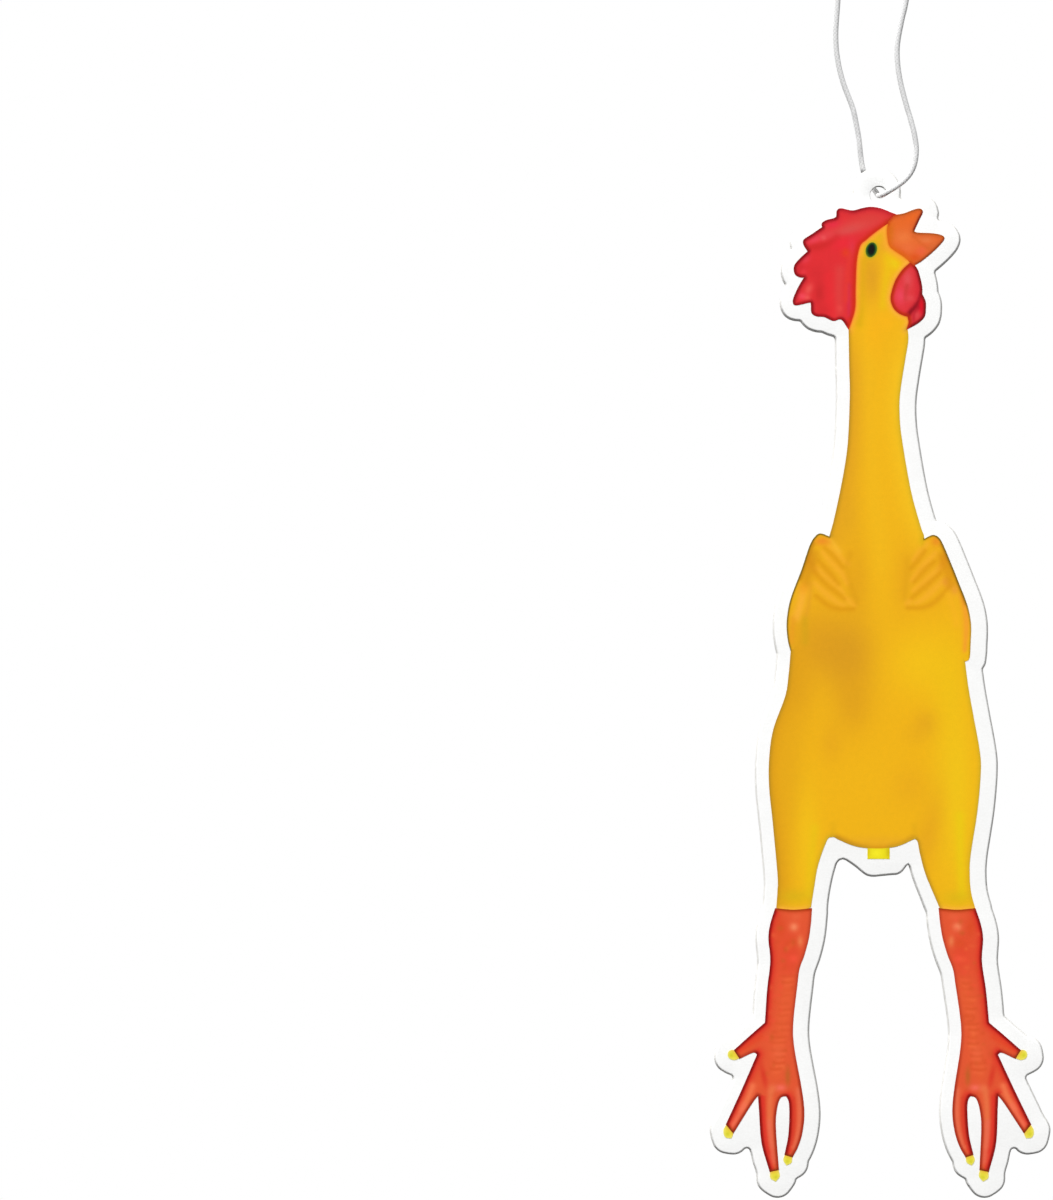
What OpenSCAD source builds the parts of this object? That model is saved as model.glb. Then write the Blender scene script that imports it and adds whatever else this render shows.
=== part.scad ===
// Flat hanging card in the shape of a rubber chicken: die-cut pulp board with
// white paper faces, printed on both sides, on a loop of thin elastic cord.
// Millimetres. X is to the right of the printed front, the front faces -Y and
// Z is up. The origin is the hang point, in the fork of the loop just under its knot.

/* [Card] */
// Thickness of the pulp board between the two paper faces
core_t = 1.4; // [1:0.1:2]
// Thickness of each white paper face
face_t = 0.2; // [0.1:0.05:0.3]
// Thickness of the printed ink
ink_t = 0.05; // [0.03:0.01:0.1]
// White margin between the printed figure and the die-cut edge
margin = 2.6; // [1.8:0.1:3.2]
// Radius of the inside corners of the die-cut edge
inside_r = 0.5; // [0.3:0.1:1.5]

/* [Hanging hole] */
// Diameter of the hole for the cord
hole_d = 2.8; // [2.6:0.1:3.2]
// Diameter of the round tab about the hole
tab_d = 8.1; // [7.6:0.1:10]

/* [Cord] */
// Diameter of the elastic cord
cord_d = 0.9; // [0.6:0.1:1]
// Diameter of the knot
knot_d = 3.6; // [3.2:0.1:4.2]
// Length of each cut end above the knot
tail_len = 4; // [3:0.5:7]
// Height of the hang point above the middle of the tab
hang_drop = 74; // [66:1:84]

/* [Hidden] */

// Middle of the hole, in [x, z] from the middle of the tab
hole_at = [0.3, -0.5];
// How far the die-cut edge sits from its true place about the print, in [x, z]
die_shift = [0.3, -0.2];
// Edge of the die-cut notch under the belly, from the left leg to the right, in [x, z]
notch_points = [[-8.1, -119.6], [-7.55, -115.5], [-6.85, -112.7], [-6.55, -111.85], [-6.2, -111.45],
    [-5.65, -111.27], [-5.15, -111.45], [-4.65, -111.78], [-3.6, -112.52], [-2.5, -113.43], [-1.8, -113.93],
    [-1, -114.15], [0.9, -114.05], [2.5, -113.9], [3.5, -113.8], [4.3, -113.3], [4.8, -112.65],
    [5.2, -112.15], [5.35, -112.45], [5.65, -113.55], [6.25, -115.35], [7.05, -117.35], [7.93, -119.6]];
// Corners that close the card above that edge, and the open space below it
above_notch = [[9.5, -116], [7, -107.5], [0, -106], [-7.5, -106.5], [-10, -114]];
below_notch = [[7, -122], [-7, -122]];
// Margin for which the notch is drawn
notch_margin = 2.6;
// Spread of the red, orange and claw inks beyond their drawn outlines
ink_spread = 0.14;
// Straight pieces in each stretch of a printed outline
outline_steps = 4;
// Straight pieces in each stretch of the figure that the die-cut edge follows, and in its full round
edge_steps = 2;
edge_fn = 24;
// Straight pieces in each stretch of the cord
cord_steps = 2;
// Sides of the cord
cord_sides = 8;
// Room between the cord and what it passes
cord_gap = 0.15;
// Height above the middle of the tab at which the loop bends when the card tips
tilt_z = 13;
// Half of the gap left in each strand at that bend
tilt_gap = 0.2;

board_t = core_t + 2 * face_t;
// Distance of the cord from the middle of the board where it lies over a face
over_y = board_t / 2 + ink_t + cord_gap + cord_d / 2;

comb_red = "#e2353a";
skin_yellow = "#f2b720";
wing_yellow = "#f0ad24";
beak_orange = "#ef7040";
wattle_red = "#da3a3c";
eye_green = "#0d3a22";
vent_yellow = "#f9ec23";
leg_orange = "#e25633";
claw_yellow = "#efdf4a";

// Outlines are drawn from the front, in [x, z] from the middle of the tab.
// A third value of 1 marks a sharp corner.
comb_points = [
    [3.3, -3.9, 1], [2, -3.4], [0.6, -2.85], [-1, -2.6], [-2.4, -2.8], [-4.1, -3.2], [-6, -2.85],
    [-6.6, -3.2], [-6.8, -4.3], [-8.4, -4.8], [-9.1, -5.3], [-9, -5.9, 1], [-10.9, -7.2], [-12.1, -8],
    [-12.1, -8.8], [-11.4, -9.9, 1], [-12.9, -11.3], [-13.7, -12.4], [-13.6, -13.6], [-12.8, -14.1],
    [-11.9, -14.1, 1], [-12.8, -15.5], [-13.7, -17.4], [-13.9, -18.4], [-13.4, -18.75], [-11.2, -18.3],
    [-10.9, -18.7], [-10.8, -20.1], [-10, -20.6], [-8.8, -20.7], [-7.3, -21.35], [-6.4, -21.1],
    [-5.7, -21.3], [-4.75, -22.7, 1], [-3.8, -19.5], [-3.7, -16], [-3.5, -11.5], [-2.9, -8.9],
    [-1.9, -7.9], [-0.2, -6.5], [2, -5, 1]];

beak_points = [
    [3.3, -3.9, 1], [4.6, -3.65], [6.2, -3.05], [7.1, -2.9], [7.5, -3.35], [6.9, -4.6], [6, -6.6, 1],
    [6.8, -6.9], [9, -7], [10.5, -7.25], [11.1, -7.7], [10.5, -8.6], [9.2, -9.9], [7.45, -11.35],
    [6.2, -12.1, 1], [5.6, -11.7, 1], [4.6, -10.75], [3.05, -9.7], [2.2, -8.95], [1.9, -7.8], [1.8, -6.3],
    [2, -5, 1]];

wattle_points = [
    [5.7, -11.8, 1], [6.6, -12.85], [7.1, -14.4], [7.4, -15.9], [7.4, -17, 1], [7.95, -18.2], [8, -19.5],
    [7.8, -20.7], [6.85, -21.7], [5.1, -22.7, 1], [5.4, -21.7], [5.2, -20.7, 1], [3.85, -20.2],
    [2.85, -19.25], [2.4, -17.8], [2.7, -16.2], [3.3, -14.6], [4.4, -13]];

skin_points = [
    [2.6, -4.3, 1], [3, -8], [4.9, -10.9], [5.9, -11.9, 1], [6.5, -17], [5.1, -22.7, 1], [5.2, -24.8],
    [4.6, -28.5], [3.8, -34], [3.8, -38], [4.2, -41.5], [5.3, -48], [6.2, -52], [7.9, -57.8, 1],
    [8.6, -57.4], [9.4, -57.15], [10.2, -57.5], [10.9, -58.5], [12.1, -61.3], [13.7, -65.3], [15.1, -69],
    [15.65, -72], [15.6, -75], [15.4, -77.7], [14.65, -78.3, 1], [15.3, -83], [16.2, -88], [17.1, -93],
    [17.3, -96.5], [16.75, -103], [15.6, -110.5], [15.45, -114], [15.7, -116.8], [16.4, -119.5, 1],
    [13.5, -120.3], [10.5, -119.5, 1], [8.15, -113.9], [7.2, -110.5], [6.75, -108.3], [6.3, -107.8, 1],
    [3.2, -109.1], [-0.5, -109.4], [-3.8, -109], [-7.4, -107.5, 1], [-8.3, -108], [-9.8, -112.1],
    [-10.5, -116], [-11, -119.2, 1], [-13.9, -120.3], [-16.8, -119.3, 1], [-16.6, -116.5], [-16.6, -113.8],
    [-17.35, -105.5], [-18, -99], [-17.95, -94], [-17.25, -89.4], [-15.3, -84], [-14.75, -80.5],
    [-14.4, -76.6, 1], [-14.9, -74.5], [-15.05, -71.5], [-14.4, -67.8], [-12.6, -63], [-11.25, -59],
    [-10.3, -57.4], [-9.4, -56.9], [-7.95, -57.4, 1], [-7.1, -54.2], [-5.8, -48], [-4.9, -42], [-4.55, -34],
    [-4.65, -29], [-4.75, -22.7, 1], [-4.3, -12], [-1.5, -6.5]];

// Inner edge of each folded wing; the outer edge is that of the skin
left_wing_points = [
    [-8, -56, 1], [-7.4, -58.4], [-5.5, -61.4], [-4.2, -65.2], [-3.3, -68.6], [-4.2, -69.6], [-7, -69.5],
    [-9.6, -68.5], [-10.8, -69.3], [-11.5, -72], [-13, -75], [-14.4, -76.6, 1], [-19, -76.6, 1],
    [-19, -56, 1]];
right_wing_points = [
    [8.3, -56, 1], [7.2, -59.2], [5.6, -62.2], [4.8, -66], [4.2, -68.7], [5.4, -69.5], [8.2, -69.4],
    [10.4, -68.4], [11.9, -68.6], [12.7, -71.5], [13.2, -75], [14.65, -78.4, 1], [19, -78.4, 1],
    [19, -56, 1]];

// Right leg; the left one mirrors it. Toes from the inner one outwards
leg_points = [
    [16.6, -119.5, 1], [13.6, -119.75], [10.7, -119.5, 1], [10.9, -121.8], [11.3, -124.4], [12.05, -127.1],
    [12.9, -129.4], [13.3, -132], [14.1, -138.5], [14, -142.5], [13, -148.5], [12.55, -151.8], [12.5, -154.3],
    [12.9, -157], [13.6, -159.1], [14.5, -160.75, 1], [15.6, -160.4, 1], [14.9, -157], [14.7, -152.5],
    [15.1, -150.8], [15.8, -150.6], [16.5, -151.1], [17.05, -153], [17.25, -156], [16.85, -162.9, 1],
    [18.15, -163.2, 1], [19.4, -158.5], [19.75, -153], [19.9, -150.3, 1], [21.1, -151.8], [24.25, -156.7, 1],
    [25.3, -155.4, 1], [22.75, -150], [19.9, -143.7, 1], [20.7, -143.3], [22.95, -144.3, 1],
    [23.75, -143.05, 1], [21.05, -140.65], [18.55, -138.5, 1], [18.1, -133], [17.5, -128.2], [17.75, -124.4],
    [17.4, -122]];

// Sideways lean of both legs about the ankles, in mm for each mm of height
legs_lean = 0.015;
ankle_z = -139;

// Claw beyond the end of each toe of the right foot: two corners of the toe's end, then the tip
claw_points = [
    [[14.5, -160.75], [15.6, -160.4], [15.4, -162.05]],
    [[16.85, -162.9], [18.15, -163.2], [17.3, -164.75]],
    [[24.25, -156.7], [25.3, -155.4], [25.4, -157.45]],
    [[22.95, -144.3], [23.75, -143.05], [24.75, -144.05]]];

// Share of a claw's length over which its sides run straight
claw_straight = 0.62;
// How far a claw's base goes back under its toe, and in at each side, as shares of its length and width
claw_root = 0.35;
claw_tuck = 0.1;

// Vent under the belly: its middle, width, top and bottom
vent_x = 0.25;
vent_w = 3.7;
vent_top = -108.6;
vent_bottom = -111.15;

// Eye: its middle, half width, half height and lean in degrees
eye_x = -0.95;
eye_z = -9.65;
eye_a = 0.95;
eye_b = 1.3;
eye_lean = 18;

// Cord, in [x, z] from the middle of the tab: the wavy lower part of each strand from
// the bend upwards, then the upper part in [x, share of the height left to the hang point]
lower_top = 32;
left_lower = [[-4.2, 14.6], [-5.7, 18.6], [-6.6, 22.6], [-6.85, 26.6], [-6.5, lower_top]];
left_upper = [[-6.2, 0.15], [-5.9, 0.35], [-5.2, 0.58], [-4.1, 0.77], [-2.7, 0.9],
    [-1.55, 0.965], [-0.85, 1]];
right_lower = [[4.8, 15], [3.9, 18.6], [3.45, 21.8], [3.45, 24.7], [4.1, 28.4], [4.9, lower_top]];
right_upper = [[5.5, 0.13], [5.7, 0.3], [5.3, 0.5], [4.2, 0.72], [2.75, 0.88], [1.55, 0.965], [0.85, 1]];
left_bend_x = -3.75;
right_bend_x = 5.4;
// The bight, in [x, share of over_y, z] from the left strand, behind the card
// and through the hole, to the right strand in front of it
bight_route = [
    [left_bend_x, 0, tilt_z - tilt_gap], [-3.36, 0.26, 11.2], [-2.94, 0.66, 9], [-2.68, 0.98, 6.8],
    [-2.4, 1.14, 4.8], [-1.98, 1.2, 3.2], [-1.28, 1.22, 1.98], [-0.58, 1.17, 1.02], [-0.06, 0.86, 0.14],
    [0.24, 0.37, -0.42], [0.46, -0.22, -0.62], [0.8, -0.76, -0.54], [1.44, -1.16, -0.22],
    [2.36, -1.34, 0.34], [3.54, -1.2, 1.12], [4.66, -1.08, 2.04], [5.62, -1.05, 3.24], [6.27, -1.05, 4.9],
    [6.5, -0.96, 7.2], [6.22, -0.64, 9.6], [5.83, -0.24, 11.4], [right_bend_x, 0, tilt_z - tilt_gap]];

// Knot: its rise above the hang point, its middle, the direction in which each strand
// leaves it, in degrees from straight down, and the distance at which that strand ends
knot_rise = 1;
knot_z = hang_drop + knot_rise + knot_d / 2;
knot_leave = 17;
knot_reach = knot_d / 2 + cord_gap + 0.1;

function unit(v) = v / norm(v);
function at(list, i) = list[(i + len(list)) % len(list)];
function flat(p) = [p[0], p[1]];
function is_corner(p) = len(p) == 3;
function hermite(a, b, ta, tb, s) =
    (2 * s ^ 3 - 3 * s ^ 2 + 1) * a + (s ^ 3 - 2 * s ^ 2 + s) * ta
    + (3 * s ^ 2 - 2 * s ^ 3) * b + (s ^ 3 - s ^ 2) * tb;

// Slope of a closed outline at point i, on the side of its neighbour j
function slope(list, i, j) = is_corner(at(list, i))
    ? (flat(at(list, j)) - flat(at(list, i))) * (j > i ? 1 : -1)
    : (flat(at(list, i + 1)) - flat(at(list, i - 1))) / 2;

// Smooth closed outline through the points, with that many straight pieces in each stretch
function outline(list, steps = outline_steps) = [
    for (i = [0 : len(list) - 1], k = [0 : steps - 1])
        let (a = flat(list[i]), b = flat(at(list, i + 1)))
            hermite(a, b, slope(list, i, i + 1), slope(list, i + 1, i), k / steps)];

// Point of the right leg, or of the left one where side is -1
function on_leg(side, p) = concat(
    [side * p[0] + legs_lean * (ankle_z - p[1]), p[1]], is_corner(p) ? [1] : []);
function leg_outline(side, steps = outline_steps) = outline([for (p = leg_points) on_leg(side, p)], steps);

// Smooth open line through points in space
function open_slope(list, i) =
    (list[min(i + 1, len(list) - 1)] - list[max(i - 1, 0)]) / (i == 0 || i == len(list) - 1 ? 1 : 2);
function open_line(list) = concat([
    for (i = [0 : len(list) - 2], k = [0 : cord_steps - 1])
        hermite(list[i], list[i + 1], open_slope(list, i), open_slope(list, i + 1), k / cord_steps)],
    [list[len(list) - 1]]);

// Directions along a line, and normals carried along it without twisting
function along(line) = [
    for (i = [0 : len(line) - 1])
        unit(line[min(i + 1, len(line) - 1)] - line[max(i - 1, 0)])];
function carried(n, t) = unit(n - (n * t) * t);
function normals(dirs, n, i = 0) = i == len(dirs)
    ? []
    : let (m = carried(n, dirs[i])) concat([m], normals(dirs, m, i + 1));

function ellipse(x, z, a, b, lean) = [
    for (k = [0 : 23])
        let (u = a * cos(k * 15), v = b * sin(k * 15))
            [x + u * cos(lean) + v * sin(lean), z - u * sin(lean) + v * cos(lean)]];

function strand_route(side, bend_x, lower, upper) = concat(
    [[bend_x, 0, tilt_z + tilt_gap]],
    [for (p = lower) [p[0], 0, p[1]]],
    [for (p = upper) [p[0], 0, lower_top + p[1] * (hang_drop - lower_top)]],
    [[side * knot_reach * sin(knot_leave), 0, knot_z - knot_reach * cos(knot_leave)]]);
function tail_route(side) = [
    [side * 0.3, 0, knot_z + 0.3],
    [side * 0.8, side * -0.2, knot_z + knot_d / 2],
    [side * 1.4, side * -0.5, knot_z + knot_d / 2 + tail_len * 0.6],
    [side * 2.6, side * -0.6, knot_z + knot_d / 2 + tail_len]];

module tube(route) {
    line = open_line(route);
    dirs = along(line);
    across = normals(dirs, [0.3, 0.8, 0.5]);
    last = len(line) - 1;
    rings = [
        for (i = [0 : last], k = [0 : cord_sides - 1])
            let (a = k * 360 / cord_sides)
                line[i] + cord_d / 2 * (cos(a) * across[i] + sin(a) * cross(dirs[i], across[i]))];
    sides = [
        for (i = [0 : last - 1], k = [0 : cord_sides - 1])
            let (p = i * cord_sides + k, q = i * cord_sides + (k + 1) % cord_sides)
                each [[p, p + cord_sides, q + cord_sides], [p, q + cord_sides, q]]];
    start = [for (k = [0 : cord_sides - 1]) k];
    end = [for (k = [cord_sides - 1 : -1 : 0]) last * cord_sides + k];
    polyhedron(rings, concat(sides, [start], [end]));
}

module inked() offset(delta = ink_spread) children();

module comb_area() difference() {
    inked() polygon(outline(comb_points));
    beak_area();
}

module beak_area() inked() polygon(outline(beak_points));

module wattle_area() difference() {
    inked() polygon(outline(wattle_points));
    beak_area();
}

module eye_area() polygon(ellipse(eye_x, eye_z, eye_a, eye_b, eye_lean));

module whole_skin_area() polygon(outline(skin_points));

module wings_area() intersection() {
    whole_skin_area();
    union() {
        polygon(outline(left_wing_points));
        polygon(outline(right_wing_points));
    }
}

module skin_area() difference() {
    whole_skin_area();
    comb_area();
    beak_area();
    wattle_area();
    eye_area();
    wings_area();
    legs_area();
}

module vent_area() difference() {
    translate([vent_x - vent_w / 2, vent_bottom]) square([vent_w, vent_top - vent_bottom]);
    whole_skin_area();
}

module legs_area() for (side = [-1, 1]) inked() polygon(leg_outline(side));

module claws_area() difference() {
    for (side = [-1, 1], claw = claw_points) {
        c = [for (p = claw) on_leg(side, p)];
        ahead = c[2] - (c[0] + c[1]) / 2;
        back = claw_root * ahead;
        grow = claw_straight * ahead;
        tuck = claw_tuck * (c[1] - c[0]);
        inked() polygon([c[0] - back + tuck, c[1] - back - tuck, c[1] + grow, c[2], c[0] + grow]);
    }
    legs_area();
}

// The whole figure, drawn coarsely because the die-cut edge only follows it at a distance
module figure_area() {
    for (points = [skin_points, comb_points, beak_points, wattle_points])
        polygon(outline(points, edge_steps));
    for (side = [-1, 1])
        polygon(leg_outline(side, edge_steps));
    vent_area();
    claws_area();
}

// The die-cut edge follows the figure and the tab, but cuts its own notch under the belly
module card_area() difference() {
    union() {
        offset(r = -inside_r, $fn = edge_fn) {
            translate(die_shift) offset(r = margin + inside_r, $fn = edge_fn) figure_area();
            circle(d = tab_d + 2 * inside_r, $fn = 48);
        }
        offset(delta = margin - notch_margin) polygon(concat(notch_points, above_notch));
    }
    offset(delta = notch_margin - margin) polygon(concat(notch_points, below_notch));
}

// Stands a flat area up in the card, from depth y towards the front
module layer(y, thickness)
    translate([0, y, -hang_drop]) rotate([90, 0, 0]) linear_extrude(thickness) children();

module card_layer(y, thickness) difference() {
    layer(y, thickness) card_area();
    translate([hole_at[0], 0, hole_at[1] - hang_drop])
        rotate([90, 0, 0])
            cylinder(d = hole_d, h = 3 * board_t, center = true, $fn = 64);
}

module front_print() layer(-board_t / 2, ink_t) children();

module back_print() layer(board_t / 2 + ink_t, ink_t) children();

module pulp_core() color("#d9cfb8") card_layer(core_t / 2, core_t);

module front_face() color("white") card_layer(-core_t / 2, face_t);

module back_face() color("white") card_layer(board_t / 2, face_t);

module front_skin() color(skin_yellow) front_print() skin_area();

module front_wings() color(wing_yellow) front_print() wings_area();

module front_comb() color(comb_red) front_print() comb_area();

module front_beak() color(beak_orange) front_print() beak_area();

module front_wattle() color(wattle_red) front_print() wattle_area();

module front_eye() color(eye_green) front_print() eye_area();

module front_vent() color(vent_yellow) front_print() vent_area();

module front_legs() color(leg_orange) front_print() legs_area();

module front_claws() color(claw_yellow) front_print() claws_area();

module back_skin() color(skin_yellow) back_print() skin_area();

module back_wings() color(wing_yellow) back_print() wings_area();

module back_comb() color(comb_red) back_print() comb_area();

module back_beak() color(beak_orange) back_print() beak_area();

module back_wattle() color(wattle_red) back_print() wattle_area();

module back_eye() color(eye_green) back_print() eye_area();

module back_vent() color(vent_yellow) back_print() vent_area();

module back_legs() color(leg_orange) back_print() legs_area();

module back_claws() color(claw_yellow) back_print() claws_area();

module cord_knot() color("white") translate([0, 0, -hang_drop]) {
    translate([0, 0, knot_z]) sphere(d = knot_d, $fn = 48);
    tube(tail_route(-1));
    tube(tail_route(1));
}

module cord_strands() color("white") translate([0, 0, -hang_drop]) {
    tube(strand_route(-1, left_bend_x, left_lower, left_upper));
    tube(strand_route(1, right_bend_x, right_lower, right_upper));
}

module cord_bight() color("white") translate([0, 0, -hang_drop])
    tube([for (p = bight_route) [p[0], p[1] * over_y, p[2]]]);

pulp_core();
front_face();
back_face();
front_skin();
front_wings();
front_comb();
front_beak();
front_wattle();
front_eye();
front_vent();
front_legs();
front_claws();
back_skin();
back_wings();
back_comb();
back_beak();
back_wattle();
back_eye();
back_vent();
back_legs();
back_claws();
cord_knot();
cord_strands();
cord_bight();
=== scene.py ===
import math

import bpy
import numpy as np
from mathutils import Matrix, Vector
from mathutils.geometry import delaunay_2d_cdt


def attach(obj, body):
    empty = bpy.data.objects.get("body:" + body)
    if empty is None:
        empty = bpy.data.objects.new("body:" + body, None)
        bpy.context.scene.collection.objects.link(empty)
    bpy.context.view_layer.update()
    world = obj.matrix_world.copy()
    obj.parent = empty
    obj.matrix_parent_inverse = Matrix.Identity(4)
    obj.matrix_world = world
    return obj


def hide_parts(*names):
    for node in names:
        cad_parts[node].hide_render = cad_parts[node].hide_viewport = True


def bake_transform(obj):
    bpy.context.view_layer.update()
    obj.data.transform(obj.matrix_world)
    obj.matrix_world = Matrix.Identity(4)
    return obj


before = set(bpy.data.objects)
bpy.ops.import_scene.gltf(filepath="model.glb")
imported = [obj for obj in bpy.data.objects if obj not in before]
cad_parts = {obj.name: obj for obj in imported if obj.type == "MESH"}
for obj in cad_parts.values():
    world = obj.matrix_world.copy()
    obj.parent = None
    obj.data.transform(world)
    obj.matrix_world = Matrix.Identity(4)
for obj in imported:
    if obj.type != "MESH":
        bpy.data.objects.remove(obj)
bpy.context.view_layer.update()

# Lengths are in millimetres. Points are [x, z] or [x, y, z] from the middle of the
# card's tab, and the row's origin, the hang point, is DROP above that middle.
MM = 0.001
DROP = 74.0
# the card's front at y = FRONT, its back at y = -FRONT, and the thickness of a film of ink
FRONT = -0.9
INK = 0.05
# the hole in the tab
HOLE_X, HOLE_Z = 0.3, -0.5
rng = np.random.default_rng(7)


# camera, straight on from far off, with the object at the right of the frame as in the photo
camera = bpy.data.objects.new("camera", bpy.data.cameras.new("camera"))
camera.data.lens = 200
camera.data.sensor_width = 36
camera.location = (-0.05842, -1.1120, -0.142)
camera.rotation_euler = (math.pi / 2, 0, 0)
bpy.context.scene.collection.objects.link(camera)
bpy.context.scene.camera = camera


# helpers
def unit(v):
    """Vectors of length 1."""
    return v / np.maximum(np.linalg.norm(v, axis=-1, keepdims=True), 1e-12)


def add_piece(name, points, faces, material, smooth=True):
    """A new mesh object from points in millimetres."""
    mesh = bpy.data.meshes.new(name)
    at = (np.asarray(points, float) - [0, 0, DROP]) * MM
    mesh.from_pydata(at.tolist(), [], [list(map(int, f)) for f in faces])
    mesh.polygons.foreach_set("use_smooth", [smooth] * len(mesh.polygons))
    mesh.materials.append(material)
    mesh.update()
    made = bpy.data.objects.new(name, mesh)
    bpy.context.scene.collection.objects.link(made)
    return made


def set_float(piece, name, values):
    attribute = piece.data.attributes.new(name, "FLOAT", "POINT")
    attribute.data.foreach_set("value", np.asarray(values, np.float32))


def set_colour(piece, name, values):
    attribute = piece.data.attributes.new(name, "FLOAT_COLOR", "POINT")
    rgba = np.c_[values, np.ones(len(values))].astype(np.float32)
    attribute.data.foreach_set("color", rgba.ravel())


def hermite(a, b, leave, arrive, s):
    """The point at share s of a smooth curve from a to b with these slopes at its ends."""
    return ((2 * s**3 - 3 * s**2 + 1) * a + (s**3 - 2 * s**2 + s) * leave
            + (3 * s**2 - 2 * s**3) * b + (s**3 - s**2) * arrive)


def through(points, steps):
    """A smooth open line through points, as the CAD cord has it."""
    p = np.array(points, float)
    slope = np.gradient(p, axis=0)
    made = []
    for i in range(len(p) - 1):
        for s in np.arange(steps) / steps:
            made.append(hermite(p[i], p[i + 1], slope[i], slope[i + 1], s))
    return np.array(made + [p[-1]])


def along(line):
    """How far along a line each of its points is."""
    return np.r_[0, np.cumsum(np.linalg.norm(np.diff(line, axis=0), axis=1))]


def spaced(line, step):
    """The line again with points an even distance apart, step at most."""
    run = along(line)
    at = np.linspace(0, run[-1], max(2, math.ceil(run[-1] / step) + 1))
    return np.stack([np.interp(at, run, line[:, k]) for k in range(line.shape[1])], 1)


# length of one turn of the braid, its relief as a share of the radius, and the domed cut ends
BRAID_PITCH = 2.6
BRAID_RELIEF = 0.05
END_DOME = 0.06
# the groove depth given to the cut ends, which the cord's colour turns to the grooves' painted shade
END_GROOVE = 0.4


def braid(line, radius, sides=20):
    """Points, faces and groove depth of a finely braided round cord along a line."""
    ahead = unit(np.gradient(line, axis=0))
    across = [unit(np.cross(ahead[0], [0.31, 0.83, 0.46]))]
    for t in ahead[1:]:
        n = across[-1] - (across[-1] @ t) * t
        across.append(unit(n))
    across = np.array(across)
    up = np.cross(ahead, across)
    angle = np.arange(sides) * 2 * math.pi / sides
    turn = 2 * math.pi * along(line)[:, None] / BRAID_PITCH
    one = np.abs(np.cos(2.0 * (angle[None] + turn)))
    two = np.abs(np.cos(2.0 * (angle[None] - turn)))
    high = np.maximum(one, two) ** 0.7
    r = radius * (1 - BRAID_RELIEF + BRAID_RELIEF * high)
    out = np.cos(angle)[None, :, None] * across[:, None] + np.sin(angle)[None, :, None] * up[:, None]
    rows = (line[:, None] + r[..., None] * out).reshape(-1, 3)
    ends = np.array([line[0] - ahead[0] * END_DOME, line[-1] + ahead[-1] * END_DOME])
    points = np.r_[rows, ends]
    faces = []
    last = (len(line) - 1) * sides
    for here in range(0, last, sides):
        for k in range(sides):
            j = (k + 1) % sides
            faces.append((here + k, here + j, here + sides + j, here + sides + k))
    first_end, last_end = len(rows), len(rows) + 1
    faces += [(first_end, (k + 1) % sides, k) for k in range(sides)]
    faces += [(last_end, last + k, last + (k + 1) % sides) for k in range(sides)]
    return points, faces, np.r_[high.ravel(), END_GROOVE, END_GROOVE]


# node materials
def shader(name):
    """A new material with its node tree and its shader."""
    made = bpy.data.materials.new(name)
    made.use_nodes = True
    return made, made.node_tree, made.node_tree.nodes["Principled BSDF"]


def node(tree, kind, inputs=(), **settings):
    """A new node with its settings, and a link or a value for each of the inputs named."""
    made = tree.nodes.new(kind)
    for key, value in settings.items():
        setattr(made, key, value)
    for key, value in dict(inputs).items():
        if isinstance(value, bpy.types.NodeSocket):
            tree.links.new(value, made.inputs[key])
        else:
            made.inputs[key].default_value = value
    return made


def in_mm(tree, stretch=(1, 1, 1)):
    """The place on the object in millimetres, stretched along each axis."""
    place = node(tree, "ShaderNodeTexCoord").outputs["Object"]
    made = node(tree, "ShaderNodeMapping", {"Vector": place, "Scale": [1000 * s for s in stretch]})
    return made.outputs["Vector"]


def noise(tree, where, scale, detail=3.0, rough=0.55):
    made = node(tree, "ShaderNodeTexNoise", {"Vector": where, "Scale": scale,
                                             "Detail": detail, "Roughness": rough})
    return made.outputs["Fac"]


def spread(tree, value, low, high, to_low, to_high):
    """A value's range from low to high spread over another range."""
    made = node(tree, "ShaderNodeMapRange", {"Value": value, "From Min": low, "From Max": high,
                                             "To Min": to_low, "To Max": to_high})
    return made.outputs["Result"]


def times(tree, a, b):
    return node(tree, "ShaderNodeMath", {0: a, 1: b}, operation="MULTIPLY").outputs[0]


def plus(tree, a, b):
    return node(tree, "ShaderNodeMath", {0: a, 1: b}, operation="ADD").outputs[0]


def shade(tree, colour, value):
    """A colour times a grey value."""
    even = node(tree, "ShaderNodeCombineColor", {"Red": value, "Green": value, "Blue": value})
    made = node(tree, "ShaderNodeMix", data_type="RGBA", blend_type="MULTIPLY")
    made.inputs["Factor"].default_value = 1.0
    tree.links.new(colour, made.inputs[6])
    tree.links.new(even.outputs["Color"], made.inputs[7])
    return made.outputs[2]


def grey(value):
    return (value, value, value)


def ramp(tree, value, stops):
    """A colour that runs through the stops, each a place from 0 to 1 and its colour."""
    made = node(tree, "ShaderNodeValToRGB", {"Fac": value})
    band = made.color_ramp
    while len(band.elements) < len(stops):
        band.elements.new(0.5)
    for element, (place, colour) in zip(band.elements, stops):
        element.position = place
        element.color = (*colour, 1)
    return made.outputs["Color"]


def bump(tree, height, strength, depth):
    """A bumped normal with a depth in millimetres."""
    made = node(tree, "ShaderNodeBump", {"Height": height, "Strength": strength, "Distance": depth * MM})
    return made.outputs["Normal"]


def hole_shade_factor(tree):
    """1 on board and paper, less where shade is painted grey on the upper edge of the hole."""
    hole_shade = node(tree, "ShaderNodeAttribute", attribute_name="hole_shade").outputs["Fac"]
    return spread(tree, hole_shade, 0, 1, 1, 0.25)


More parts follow.
